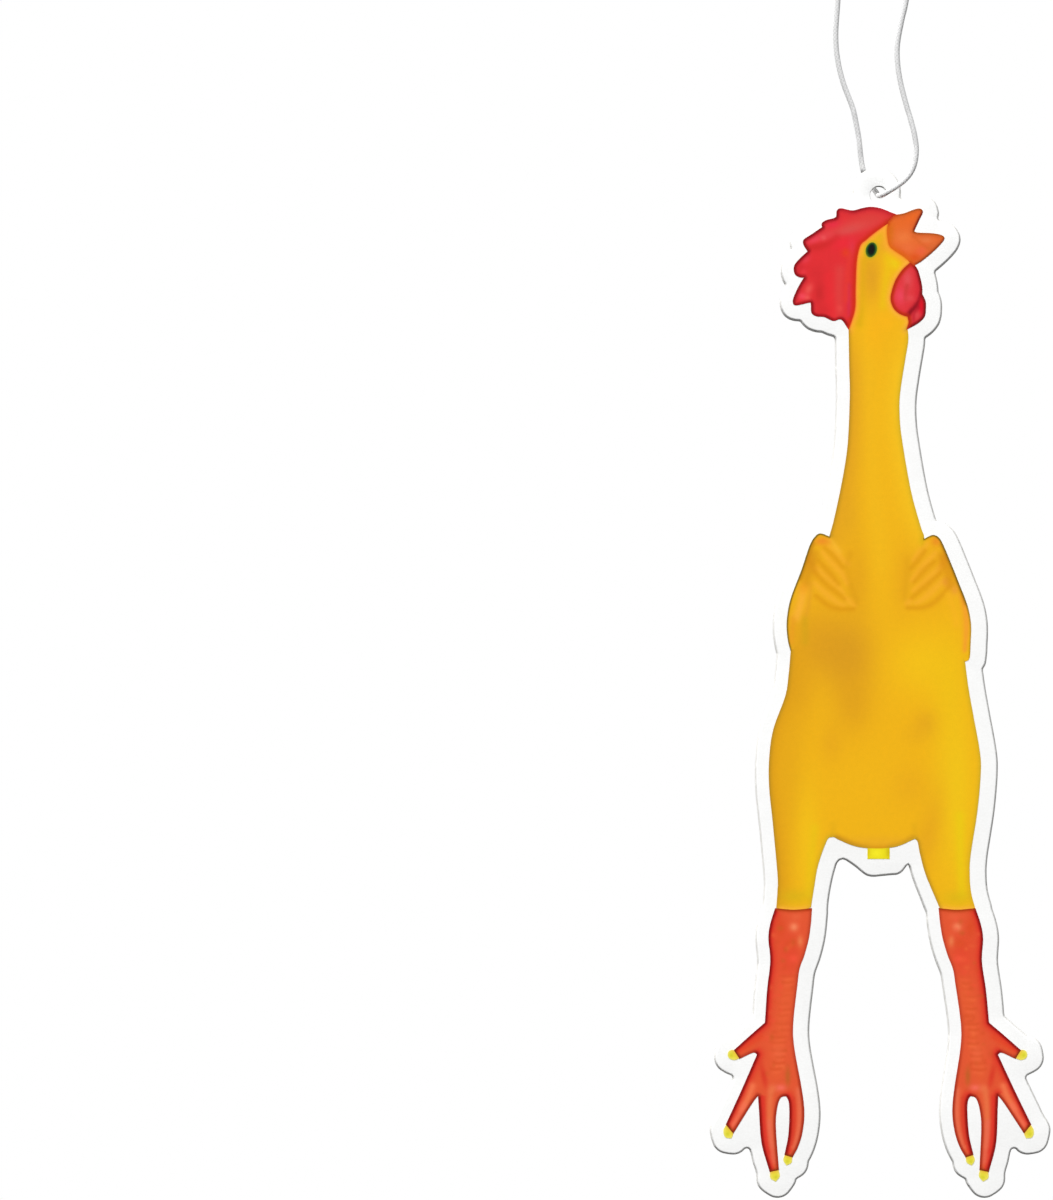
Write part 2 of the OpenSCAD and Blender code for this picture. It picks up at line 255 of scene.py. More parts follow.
def paper_material():
    """Soft white face paper over pulp: faint fibres, shallow pits, a dull surface."""
    made, tree, bsdf = shader("white_face_paper")
    where = in_mm(tree)
    cloud = noise(tree, where, 0.35, 4)
    tooth = noise(tree, where, 3.2, 5, 0.6)
    threads = noise(tree, in_mm(tree, (0.5, 1, 3.2)), 2.6, 4, 0.6)
    streaks = spread(tree, threads, 0.35, 0.65, -0.012, 0.012)
    tone = plus(tree, spread(tree, cloud, 0.3, 0.7, 0.975, 1.0), streaks)
    # painted shade: the paper turns grey at the upper edge of the hole
    tone = times(tree, tone, hole_shade_factor(tree))
    white = ramp(tree, tooth, [(0.3, (0.90, 0.90, 0.89)), (0.7, (0.945, 0.945, 0.94))])
    tree.links.new(shade(tree, white, tone), bsdf.inputs["Base Color"])
    tree.links.new(spread(tree, tooth, 0.3, 0.7, 0.62, 0.8), bsdf.inputs["Roughness"])
    high = plus(tree, tooth, times(tree, threads, 0.8))
    tree.links.new(bump(tree, high, 0.22, 0.05), bsdf.inputs["Normal"])
    bsdf.inputs["Specular IOR Level"].default_value = 0.3
    return made


def pulp_material():
    """Cut edge of absorbent pulp board: matted fibres pressed in layers, a little greyed."""
    made, tree, bsdf = shader("cut_pulp_board")
    clump = noise(tree, in_mm(tree, (1, 2.4, 1)), 2.2, 5, 0.65)
    layers = noise(tree, in_mm(tree, (0.35, 5, 0.35)), 1.5, 3, 0.5)
    fine = noise(tree, in_mm(tree), 9, 3, 0.6)
    mixed = plus(tree, times(tree, clump, 0.6), times(tree, layers, 0.4))
    colour = ramp(tree, mixed, [(0.3, (0.70, 0.69, 0.66)), (0.5, (0.82, 0.81, 0.78)),
                                (0.72, (0.88, 0.875, 0.85))])
    # painted shade: the board turns grey at the upper edge of the hole
    tone = times(tree, spread(tree, fine, 0.3, 0.7, 0.9, 1.05), hole_shade_factor(tree))
    tree.links.new(shade(tree, colour, tone), bsdf.inputs["Base Color"])
    bsdf.inputs["Roughness"].default_value = 0.95
    bsdf.inputs["Specular IOR Level"].default_value = 0.1
    tree.links.new(bump(tree, plus(tree, mixed, times(tree, fine, 0.5)), 0.7, 0.12), bsdf.inputs["Normal"])
    return made


def ink_material(name, gloss, grain):
    """Printed ink: the painted colour with a fine screen grain, satin over the paper's tooth."""
    made, tree, bsdf = shader(name)
    where = in_mm(tree)
    paint = node(tree, "ShaderNodeAttribute", attribute_name="ink").outputs["Color"]
    screen = noise(tree, where, 7, 2, 0.6)
    tooth = noise(tree, where, 3.2, 5, 0.6)
    tone = times(tree, spread(tree, screen, 0.3, 0.7, 1 - grain, 1 + grain),
                 spread(tree, noise(tree, where, 1.1, 3), 0.3, 0.7, 0.985, 1.015))
    tree.links.new(shade(tree, paint, tone), bsdf.inputs["Base Color"])
    tree.links.new(spread(tree, tooth, 0.3, 0.7, gloss, gloss + 0.16), bsdf.inputs["Roughness"])
    tree.links.new(bump(tree, tooth, 0.16, 0.04), bsdf.inputs["Normal"])
    bsdf.inputs["Specular IOR Level"].default_value = 0.15
    return made


def cord_material():
    """White braided elastic: bright yarn, painted shade in the grooves, painted light and shade from the tone
    attribute, a little sheen.
    """
    made, tree, bsdf = shader("braided_elastic")
    groove = node(tree, "ShaderNodeAttribute", attribute_name="braid").outputs["Fac"]
    fuzz = noise(tree, in_mm(tree), 8, 3, 0.6)
    # painted shade: the braid's grooves are coloured grey, its ridges bright
    colour = ramp(tree, groove, [(0.55, grey(0.58)), (0.85, grey(0.68)), (1.0, grey(0.72))])
    # the tone attribute carries the cord's painted light and shade
    tone = node(tree, "ShaderNodeAttribute", attribute_name="tone").outputs["Fac"]
    tone = times(tree, tone, spread(tree, fuzz, 0.3, 0.7, 0.94, 1.03))
    tree.links.new(shade(tree, colour, tone), bsdf.inputs["Base Color"])
    bsdf.inputs["Roughness"].default_value = 0.7
    bsdf.inputs["Subsurface Weight"].default_value = 0.8
    bsdf.inputs["Subsurface Radius"].default_value = (0.5, 0.5, 0.5)
    bsdf.inputs["Subsurface Scale"].default_value = 0.8 * MM
    bsdf.inputs["Sheen Weight"].default_value = 0.15
    bsdf.inputs["Specular IOR Level"].default_value = 0.2
    tree.links.new(bump(tree, fuzz, 0.25, 0.04), bsdf.inputs["Normal"])
    return made


paper = paper_material()
pulp = pulp_material()
elastic = cord_material()


# cord and knot
CORD_R = 0.45
KNOT_CORD_R = 0.43
# height at which the strands leave the photo, and of the knot's middle
TOP = 32.0
KNOT_Z = DROP + 1 + 1.8
# distance of the cord from the middle of the board where it lies over a face
OVER_Y = 1.55
# the strands as [x, z] up to TOP, and then as [x, share of the way from TOP to the hang point]
LEFT_LOWER = [[-4.2, 14.6], [-5.7, 18.6], [-6.6, 22.6], [-6.85, 26.6], [-6.5, TOP]]
LEFT_UPPER = [[-6.2, 0.15], [-5.9, 0.35], [-5.2, 0.58], [-4.1, 0.77], [-2.7, 0.9], [-1.55, 0.965], [-0.85, 1]]
RIGHT_LOWER = [[4.8, 15], [3.9, 18.6], [3.45, 21.8], [3.45, 24.7], [4.1, 28.4], [4.9, TOP]]
RIGHT_UPPER = [[5.5, 0.13], [5.7, 0.3], [5.3, 0.5], [4.2, 0.72], [2.75, 0.88], [1.55, 0.965], [0.85, 1]]
# where the right strand runs into the knot, in [x, z]; the left one mirrors it
KNOT_ENTRY = [[0.6, 74.9], [0.6, 75.5]]
# the bight, in [x, share of OVER_Y, z] from the left strand, behind the card and through its hole
BIGHT = [
    [-3.75, 0, 13], [-3.36, 0.26, 11.2], [-2.94, 0.66, 9], [-2.68, 0.98, 6.8], [-2.4, 1.14, 4.8],
    [-1.98, 1.2, 3.2], [-1.28, 1.22, 1.98], [-0.58, 1.17, 1.02], [-0.06, 0.86, 0.14], [0.24, 0.37, -0.42],
    [0.46, -0.22, -0.62], [0.8, -0.76, -0.54], [1.44, -1.16, -0.22], [2.36, -1.34, 0.34], [3.54, -1.2, 1.12],
    [4.66, -1.08, 2.04], [5.62, -1.05, 3.24], [6.27, -1.05, 4.9], [6.5, -0.96, 7.2], [6.22, -0.64, 9.6],
    [5.83, -0.24, 11.4], [5.4, 0, 13]]


def strand(lower, upper, side):
    """A strand's route from above the bight up into the knot."""
    above = [[x, TOP + share * (DROP - TOP)] for x, share in upper]
    into_knot = [[side * x, z] for x, z in KNOT_ENTRY]
    return [[x, 0, z] for x, z in lower + above + into_knot]


def glow(x, z, at, size):
    """1 at a place, falling off softly with the distance from it in x and z."""
    return np.exp(-(((x - at[0]) / size[0]) ** 2 + ((z - at[1]) / size[1]) ** 2))


route = strand(LEFT_LOWER, LEFT_UPPER, -1)[::-1]
route += [[x, share * OVER_Y, z] for x, share, z in BIGHT]
route += strand(RIGHT_LOWER, RIGHT_UPPER, 1)
line = spaced(through(route, 12), 0.13)
points, faces, groove = braid(line, CORD_R)
loop = add_piece("elastic_loop", points, faces, elastic)
set_float(loop, "braid", groove)
# The cord's tone is painted light and shade: lighter on the left strand and shaded on the right one above the
# tab, lighter in the hole, and a painted shadow where the left strand meets the tab's rim.
x, _, z = points.T
tone = 1 + np.where(x < 0, 0.3, -0.2) * np.exp(-((z - 10) / 2.6) ** 4)
tone += 0.45 * glow(x, z, (-0.1, 0.2), (0.5, 0.6))
tone *= 1 - 0.75 * glow(x, z, (-2.15, 3.5), (0.9, 0.4))
set_float(loop, "tone", tone)


def knot_strand(turn, lean):
    """One of the two cord ends through the overhand knot, and its cut end, which leans out to a side."""
    # [radius, degrees, height] about the knot's middle: up through it, round it once, up again and out
    winding = [(0.6, 0, -1.85), (0.6, 0, -0.9), (0.6, 0, 0.3), (0.7, 0, 1.1), (1.02, 6, 1.46),
               (1.34, 22, 1.32), (1.45, 48, 1.1)]
    winding += [(1.46, a, 1.0 - 1.95 * (a - 70) / 330) for a in range(70, 401, 22)]
    winding += [(1.4, 424, -1.16), (1.15, 440, -1.4), (0.84, 448, -1.42), (0.63, 450, -0.95),
                (0.6, 450, -0.2), (0.6, 450, 0.7), (0.64, 450, 1.5)]
    at = []
    for r, degrees, z in winding:
        angle = math.radians(degrees + turn)
        at.append([r * math.cos(angle), r * math.sin(angle), KNOT_Z + z])
    x, y, z = at[-1]
    for out, share, rise in ((0.35, 1.1, 0.9), (1.0, 1.0, 2.2), (2.0, 0.8, 4.2)):
        at.append([x + lean * out, y * share, z + rise])
    return spaced(through(at, 10), 0.12)


knot_points, knot_faces, knot_groove = [], [], []
for turn, lean in ((180, -1), (0, 1)):
    p, f, g = braid(knot_strand(turn, lean), KNOT_CORD_R, sides=16)
    before = sum(len(q) for q in knot_points)
    knot_faces += [tuple(before + i for i in face) for face in f]
    knot_points.append(p)
    knot_groove.append(g)
knot = add_piece("overhand_knot", np.concatenate(knot_points), knot_faces, elastic)
set_float(knot, "braid", np.concatenate(knot_groove))
set_float(knot, "tone", np.ones(len(knot.data.vertices)))
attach(knot, "knot")
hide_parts("cord_knot")
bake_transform(loop)
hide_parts("cord_strands", "cord_bight")
# the photo shows no shadow under the cord
loop.visible_shadow = False


# outlines of the CAD films
CHUNK = 2000
# points of an outline that are closer than this become one
NEAREST = 0.04
# height of a triangle whose sides are all 1
ROW_RISE = 0.866


def chunks(count):
    """Slices of CHUNK points each, so that tables of distances stay small."""
    return [slice(k, k + CHUNK) for k in range(0, count, CHUNK)]


def cad_loops(name, toward):
    """The outlines of a CAD node's flat side that looks toward -Y or +Y, the solid on the left of each."""
    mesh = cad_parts[name].data
    mesh.calc_loop_triangles()
    place = np.array([v.co for v in mesh.vertices]) / MM + [0, 0, DROP]
    known, ids = {}, []
    for p in np.round(place[:, [0, 2]], 4):
        ids.append(known.setdefault(tuple(p), len(known)))
    corners = np.array(list(known))
    edges = set()
    level = (place[:, 1] * toward).max()
    for t in mesh.loop_triangles:
        if all(place[i, 1] * toward > level - 0.01 for i in t.vertices):
            a, b, c = (ids[i] for i in t.vertices)
            edges.update([(a, b), (b, c), (c, a)] if len({a, b, c}) == 3 else [])
    after = {a: b for a, b in edges if (b, a) not in edges}
    loops = []
    while after:
        first, at = next(iter(after.items()))
        ring = [first]
        del after[first]
        while at != first:
            ring.append(at)
            at = after.pop(at)
        loops.append(corners[ring])
    area = [0.5 * np.sum(p[:, 0] * np.roll(p[:, 1], -1) - p[:, 1] * np.roll(p[:, 0], -1)) for p in loops]
    if sum(area) < 0:
        loops, area = [p[::-1] for p in loops], [-a for a in area]
    return [loops[i] for i in np.argsort([-abs(a) for a in area])]


def smoothed(ring, step, corner):
    """The ring again as a smooth curve with points about step apart, bends over corner degrees kept."""
    keep = [0]
    for i in range(1, len(ring)):
        if np.linalg.norm(ring[i] - ring[keep[-1]]) > NEAREST:
            keep.append(i)
    p = ring[keep]
    out = np.roll(p, -1, 0) - p
    come = np.roll(out, 1, 0)
    lo, lc = (np.linalg.norm(v, axis=1, keepdims=True) for v in (out, come))
    bend = np.degrees(np.arccos(np.clip((out * come).sum(1) / (lo * lc)[:, 0], -1, 1)))
    mid = unit(come / lc * lo + out / lo * lc)
    sharp = (bend > corner)[:, None]
    leave, arrive = np.where(sharp, out / lo, mid), np.where(sharp, come / lc, mid)
    made = []
    for i in range(len(p)):
        j = (i + 1) % len(p)
        size = lo[i, 0]
        count = max(1, round(size / step))
        for s in np.arange(count) / count:
            made.append(hermite(p[i], p[j], size * leave[i], size * arrive[j], s))
    return np.array(made)


def inward(ring):
    """The direction into the solid at each point of a ring."""
    out = unit(np.roll(ring, -1, 0) - ring)
    come = np.roll(out, 1, 0)
    t = unit(out + come)
    return np.c_[-t[:, 1], t[:, 0]]


def segments(rings):
    """The start of each segment of the rings, and the step to its end."""
    return np.concatenate(rings), np.concatenate([np.roll(r, -1, 0) - r for r in rings])


def from_segments(points, a, d):
    """Each point's distance from segments a to a + d, and the way out of the solid at the nearest one."""
    best, near = np.full(len(points), 1e9), np.zeros(len(points), int)
    size = np.maximum((d * d).sum(1), 1e-12)
    for part in chunks(len(points)):
        p = points[part]
        t = np.clip(((p[:, None] - a) * d).sum(2) / size, 0, 1)
        far = ((p[:, None] - a - t[..., None] * d) ** 2).sum(2)
        near[part] = far.argmin(1)
        best[part] = np.sqrt(far.min(1))
    out = unit(np.c_[d[:, 1], -d[:, 0]])
    return best, out[near]


def from_edges(points, rings):
    """Each point's distance from the rings."""
    a, d = segments(rings)
    return from_segments(points, a, d)[0]


def inside(points, rings):
    """Whether each point lies within the rings: a line from it crosses them an odd number of times."""
    a = np.concatenate(rings)
    b = np.concatenate([np.roll(r, -1, 0) for r in rings])
    rise = np.where(b[:, 1] == a[:, 1], 1e-12, b[:, 1] - a[:, 1])
    hit = np.zeros(len(points), bool)
    for part in chunks(len(points)):
        x, z = points[part, 0, None], points[part, 1, None]
        cross = (a[:, 1] > z) != (b[:, 1] > z)
        cross &= x < (b[:, 0] - a[:, 0]) * (z - a[:, 1]) / rise + a[:, 0]
        hit[part] = cross.sum(1) % 2 == 1
    return hit


def ring_edges(rings):
    """The edges of the rings as pairs of numbers of their points, one ring after the other."""
    edges, k = [], 0
    for r in rings:
        edges += [(k + i, k + (i + 1) % len(r)) for i in range(len(r))]
        k += len(r)
    return edges


def filled(rings, extra=None):
    """Points, those of the rings first, and triangles turned to -Y over the area within the rings."""
    points = np.concatenate(rings if extra is None else rings + [extra])
    edges = ring_edges(rings)
    made, _, triangles, origin, _, _ = delaunay_2d_cdt([Vector(p) for p in points], edges, [], 0, 1e-7)
    back = np.array([o[0] if o else -1 for o in origin])
    tri = np.array([f for f in triangles if len(f) == 3])
    at = np.array([(v.x, v.y) for v in made])
    tri = back[tri[inside(at[tri].mean(1), rings)]]
    a, b, c = (points[tri[:, i]] for i in range(3))
    turn = (b[:, 0] - a[:, 0]) * (c[:, 1] - a[:, 1]) - (b[:, 1] - a[:, 1]) * (c[:, 0] - a[:, 0])
    tri[turn < 0] = tri[turn < 0][:, ::-1]
    return points, tri


def inner_points(rings, step, depths):
    """Points within the rings: rows that follow their edge at the given depths, then an even field."""
    rows = []
    for depth in depths:
        row = np.concatenate([r + inward(r) * depth for r in rings])
        rows.append(row[(from_edges(row, rings) > 0.93 * depth) & inside(row, rings)])
    everything = np.concatenate(rings)
    low, high = everything.min(0), everything.max(0)
    xs = np.arange(low[0], high[0], step)
    zs = np.arange(low[1], high[1], step * ROW_RISE)
    grid = np.array([(x + (step / 2 if k % 2 else 0), z) for k, z in enumerate(zs) for x in xs])
    grid = grid[inside(grid, rings)]
    grid = grid[from_edges(grid, rings) > depths[-1] + 0.55 * step]
    return np.concatenate(rows + [grid])


# card
card_rings = [smoothed(r, 0.4, 60) for r in cad_loops("front_face", -1)]
# share of a profile's depth that shows at the outer edge and in the hole
EDGE_SHARE = (1, 0.35)
# edges of the sheets as [distance in from the card's outline, y], from the front to the back
FACE_EDGE = [(0.5, -0.9), (0.42, -0.892), (0.36, -0.87), (0.31, -0.83), (0.27, -0.775), (0.24, -0.7)]
CORE_EDGE = [(0.25, -0.7), (0.17, -0.5), (0.1, -0.3), (0.04, -0.1), (0.0, 0.1), (0.03, 0.3), (0.12, 0.5),
             (0.25, 0.7)]
CORE_ROUGH = 0.12


def hole_top_shade(x, y, z):
    """1 on the upper edge of the hole, where shade is painted, and 0 elsewhere."""
    by_hole = (np.hypot(x - HOLE_X, z - HOLE_Z) < 1.75) & (z > 0) & (np.abs(y) < 0.895)
    return by_hole * np.exp(-((x - HOLE_X) / 0.85) ** 6)


def plate(name, profile, material, rough=0.0):
    """A closed sheet with the card's outline, whose edge follows the profile, a little rough along it."""
    into = [inward(r) for r in card_rings]
    wave = [share * (1 + rough * rng.standard_normal(len(r))) for r, share in zip(card_rings, EDGE_SHARE)]
    edges = ring_edges(card_rings)
    total = len(edges)
    outlines, rows = [], []
    for depth, y in profile:
        outlines.append([r + n * (depth * w)[:, None] for r, n, w in zip(card_rings, into, wave)])
        x, z = np.concatenate(outlines[-1]).T
        rows.append(np.c_[x, np.full(total, y), z])
    points = np.concatenate(rows)
    faces = []
    last = len(points) - total
    for start in range(0, last, total):
        faces += [(start + i, start + total + i, start + total + k, start + k) for i, k in edges]
    faces += [tuple(t) for t in filled(outlines[0])[1]]
    faces += [tuple(last + t[::-1]) for t in filled(outlines[-1])[1]]
    piece = add_piece(name, points, faces, material)
    # painted shade on the upper edge of the hole, where the cord passes through
    set_float(piece, "hole_shade", hole_top_shade(*points.T))
    return piece


front_face = plate("front_face_paper", FACE_EDGE, paper)
core = plate("pulp_board", CORE_EDGE, pulp, CORE_ROUGH)
back_face = plate("back_face_paper", [(d, -y) for d, y in FACE_EDGE[::-1]], paper)
for piece, name in ((front_face, "front_face"), (core, "pulp_core"), (back_face, "back_face")):
    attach(piece, "card")
    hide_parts(name)


# paint
def srgb(code):
    """The red, green and blue of a colour code, from 0 to 1."""
    return np.array([int(code[i:i + 2], 16) for i in (1, 3, 5)]) / 255


class Paint:
    """Colours of points of a print, laid on as an airbrush does: soft spots, strokes and edges."""

    def __init__(self, at, base, borders):
        self.at, self.borders = at, borders
        self.colour = np.tile(srgb(base), (len(at), 1))

    def lay(self, code, weight):
        """Moves each point's colour towards a colour by its weight."""
        self.colour += (srgb(code) - self.colour) * np.clip(weight, 0, 1)[:, None]

    def spot(self, code, x, z, rx, rz, amount, lean=0.0, power=2.0):
        """A soft oval, turned by lean degrees, with a harder edge for a higher power."""
        c, s = math.cos(math.radians(lean)), math.sin(math.radians(lean))
        u, v = self.at[:, 0] - x, self.at[:, 1] - z
        d = np.hypot((u * c + v * s) / rx, (v * c - u * s) / rz)
        self.lay(code, amount * np.exp(-d ** power))

    def stroke(self, code, points, width, amount, ends=None):
        """A soft line through points, its width times ends at its start, middle and end."""
        line = spaced(through(points, 8), 0.35)
        a, d = line[:-1], np.diff(line, axis=0)
        reach = 4 * width
        mine = np.flatnonzero(((self.at > line.min(0) - reach) & (self.at < line.max(0) + reach)).all(1))
        if not len(mine):
            return
        at = self.at[mine]
        t = np.clip(((at[:, None] - a) * d).sum(2) / np.maximum((d * d).sum(1), 1e-12), 0, 1)
        far = np.linalg.norm(at[:, None] - a - t[..., None] * d, axis=2)
        near = far.argmin(1)
        share = (near + t[np.arange(len(near)), near]) / len(a)
        wide = width * (np.interp(share, [0, 0.5, 1], ends) if ends else 1.0)
        weight = np.zeros(len(self.at))
        weight[mine] = amount * np.exp(-(far.min(1) / np.maximum(wide, 1e-3)) ** 2)
        self.lay(code, weight)

    def rim(self, code, width, amount, side=None, power=2.0, within=None, beside="paper"):
        """Along the edge beside bare paper or another print, most where the edge faces a side."""
        if beside not in self.borders:
            return
        edge, out = self.borders[beside]
        w = amount * np.exp(-(edge / width) ** power)
        if side is not None:
            w = w * np.clip(0.5 + 0.9 * (out @ unit(np.array(side, float))), 0, 1)
        if within is not None:
            x, z, rx, rz = within
            d = np.hypot((self.at[:, 0] - x) / rx, (self.at[:, 1] - z) / rz)
            w = w * np.clip(2.2 * (1.25 - d), 0, 1)
        self.lay(code, w)


def paint_body(p):
    """Tones of the neck, chest and belly, and the wings' feathers, over skin and wings alike."""
    p.stroke("#f6c022", [[-1.4, -20], [-1.2, -35], [-0.5, -50], [0.5, -62]], 1.6, 0.4)
    p.spot("#fbb51c", -0.6, -23, 1.6, 4, 0.6)
    p.spot("#e3a524", -4.6, -54, 2.0, 5.0, 0.45)
    p.spot("#e4a31f", -3.2, -64.5, 2.2, 6.4, 0.7)
    p.spot("#e9a71f", 4.4, -65, 2.0, 6.0, 0.6)
    p.spot("#f4b91f", 0.8, -60, 2.2, 10, 0.5)
    p.spot("#e2a021", -10, -74, 6, 6, 0.75)
    p.spot("#d99a24", -4.8, -77.6, 4.4, 6.2, 0.8)
    p.spot("#dc9c22", -8.2, -76.4, 5.0, 3.6, 0.55)
    p.spot("#e0a020", -4.0, -85, 3.2, 5.6, 0.7)
    p.spot("#e2a11f", -12.6, -82, 2.6, 7.0, 0.6)
    p.spot("#e6a521", -7.6, -92, 2.0, 3.4, 0.5)
    p.spot("#f7c41d", 7.6, -78.5, 5.5, 5.6, 0.85)
    p.spot("#f2c21b", 12.0, -82, 3, 8, 0.65)
    p.spot("#e3a421", 8.2, -88.6, 2.2, 2.2, 0.65)
    p.spot("#e8ab20", 6.4, -90.6, 2.2, 1.6, 0.4)
    p.spot("#f4b81e", 0, -98, 6, 6, 0.45)
    # feathers
    for x in (-8.2, 8.8):
        p.spot("#eeaa20", x, -63.5, 3.6, 5.6, 0.8)
    lights = [[[-8.1, -58.9], [-6.8, -60.2], [-5.6, -61.4], [-4.8, -62.0]],
              [[-9.1, -60], [-7.7, -61.6], [-6.2, -63.1], [-5.4, -64.3], [-5, -65.2]],
              [[-10, -62.7], [-8.5, -64.1], [-7, -65.4], [-5.7, -66.7]],
              [[-10.4, -65.2], [-8.7, -66.8], [-6.8, -68.3], [-5.6, -68.9]],
              [[-5.3, -67.6], [-4.5, -68.3], [-3.8, -68.9]],
              [[8.25, -58.7], [7, -60.2], [6.1, -61.3]],
              [[9.7, -60.2], [8, -62], [6.6, -63.7], [5.8, -64.7]],
              [[10.75, -62.25], [9.1, -63.9], [7.4, -65.4], [6.1, -66.4]],
              [[11, -64.75], [9.3, -66.4], [7.6, -67.9], [6.5, -68.5]],
              [[5.6, -68.1], [5.0, -68.6]]]
    darks = [[[-8.7, -59.3], [-7.0, -61], [-5.7, -62.6]],
             [[-9.75, -61.4], [-8.1, -63.3], [-6.4, -65.3]],
             [[-10.4, -63.3], [-8.7, -65.2], [-6.8, -66.7], [-5.5, -67.8]],
             [[-10.2, -67.3], [-8.1, -68.9], [-6.2, -69.5], [-3.9, -69.5]],
             [[8, -59.75], [6.6, -61.6], [5.6, -62.8]],
             [[9.5, -61.6], [7.8, -63.1], [6.2, -65]],
             [[10.5, -63.5], [8.9, -65], [7, -66.6], [5.8, -67.7]],
             [[12, -65.8], [10.3, -67.7], [8.7, -68.9], [7, -69.3], [5.1, -69.3]]]
    for line in lights:
        p.stroke("#fbb232", line, 0.6, 0.64, ends=[0.8, 1.15, 0.75])
    for line in darks:
        p.stroke("#de9616", line, 0.5, 0.58, ends=[0.8, 1.1, 0.8])
    p.stroke("#dd9a1a", [[-4.5, -60.2], [-5.0, -62.7], [-4.4, -65.6], [-3.4, -68.4]], 0.6, 0.4)
    p.stroke("#e0a01c", [[5.0, -61], [5.0, -64], [4.5, -67.6]], 0.6, 0.4)
    p.stroke("#f9ba36", [[-8, -57.9], [-7.2, -58.7], [-6.3, -59.9]], 0.45, 0.7)
    p.spot("#dcb41a", 7.5, -58.2, 0.5, 0.9, 0.6)
    # upper arms of the wings
    p.stroke("#fcb43a", [[-12.3, -66.2], [-12.7, -68.5], [-13.4, -70.8]], 0.8, 0.85)
    p.stroke("#e39a30", [[-11.1, -65.2], [-11.2, -67.7], [-11.8, -70.6]], 0.4, 0.35)
    p.stroke("#d0a41c", [[-12.0, -71.2], [-12.0, -75]], 0.65, 0.45)
    p.stroke("#ec9e26", [[-14.0, -71.2], [-14.3, -75]], 0.55, 0.65)
    p.stroke("#fab626", [[12.0, -67.2], [12.8, -69.6], [13.2, -72]], 0.7, 0.55)
    p.stroke("#f89e34", [[14.3, -67.4], [14.85, -70.6], [14.85, -73.5], [14.6, -76.4]], 0.65, 0.75,
             ends=[1, 1, 0.6])


def paint_skin(p):
    p.rim("#e0a026", 2.6, 0.7, side=(-1, 0), within=(-4, -45, 8, 19))
    p.rim("#f8c524", 2.6, 0.75, side=(1, 0), within=(4, -45, 8, 19))
    paint_body(p)
    # face
    p.stroke("#dfae16", [[-2.3, -11.5], [-2.6, -15], [-2.7, -19], [-3.0, -22]], 0.75, 0.75)
    p.spot("#e2a025", -0.9, -14.2, 1.5, 4.2, 0.85)
    p.stroke("#efc31a", [[1.5, -10.4], [1.8, -12.5], [1.4, -15.5], [1.0, -19]], 0.7, 0.65)
    p.spot("#e6a424", 0.9, -9.0, 0.9, 1.6, 0.6)
    p.spot("#f0ce0c", 3.0, -11.9, 0.9, 1.4, 0.85, lean=35)
    p.spot("#dbb41a", 0.4, -7.4, 0.8, 0.8, 0.5)
    p.spot("#fbbf2c", -2.4, -9.6, 0.5, 0.8, 0.6)
    p.spot("#fdb71e", 1.6, -21.5, 1.6, 1.6, 0.6)
    p.rim("#ffa83a", 0.66, 0.95, beside="comb", power=1.7)
    p.rim("#ee7030", 0.16, 0.9, beside="comb")
    p.rim("#ffa83a", 0.85, 0.9, beside="beak", power=1.7)
    p.rim("#e8801f", 0.2, 0.8, beside="beak")
    p.rim("#ffb344", 0.6, 0.95, beside="wattle", power=1.7)
    p.rim("#e07526", 0.17, 0.9, beside="wattle")
    p.rim("#b9b423", 0.3, 0.55, beside="eye")
    # belly and thighs
    p.rim("#dd9c1e", 2.0, 0.8, side=(-1, 0), within=(-16, -98, 6, 24))
    p.spot("#e2a31f", -14.6, -96, 2.6, 16, 0.5)
    p.spot("#f7c61e", -11.6, -108, 2.0, 9, 0.7)
    p.spot("#f5ca1e", 13.0, -99, 3.4, 15, 0.8)
    p.spot("#e8a721", 8.6, -107, 2.0, 7.5, 0.65, lean=-14)
    p.spot("#e6a522", 5.5, -99, 3.2, 3.4, 0.35)
    p.stroke("#edc81a", [[-10.4, -106], [-10.9, -111], [-11.4, -117]], 0.8, 0.5)
    p.stroke("#eecf18", [[13.8, -104], [13.9, -111], [14.2, -117]], 0.9, 0.65)
    p.spot("#d8b41c", -13.8, -117.4, 2.6, 1.2, 0.6)
    p.spot("#dcb81c", 13.4, -117.6, 2.6, 1.2, 0.6)
    p.spot("#ecac2a", 0, -108.4, 7, 1.1, 0.6)
    p.stroke("#cf891d", [[-6.6, -107.6], [-3.5, -108.9], [0, -109.4], [3.5, -108.9], [6, -107.7]], 0.5, 0.6)
    p.stroke("#d8a41c", [[-7.4, -106.9], [-7.2, -105.4]], 0.6, 0.25)
    p.stroke("#d8a01c", [[6.4, -107.2], [6.3, -105.8]], 0.6, 0.25)
    p.rim("#fdb63c", 0.5, 0.9, beside="legs")
    # the printed line round the body
    p.rim("#b48a26", 0.42, 0.8, side=(-1, 0), within=(0, -72, 30, 58))
    p.rim("#caaa2c", 0.42, 0.7, side=(1, 0), within=(0, -72, 30, 58))


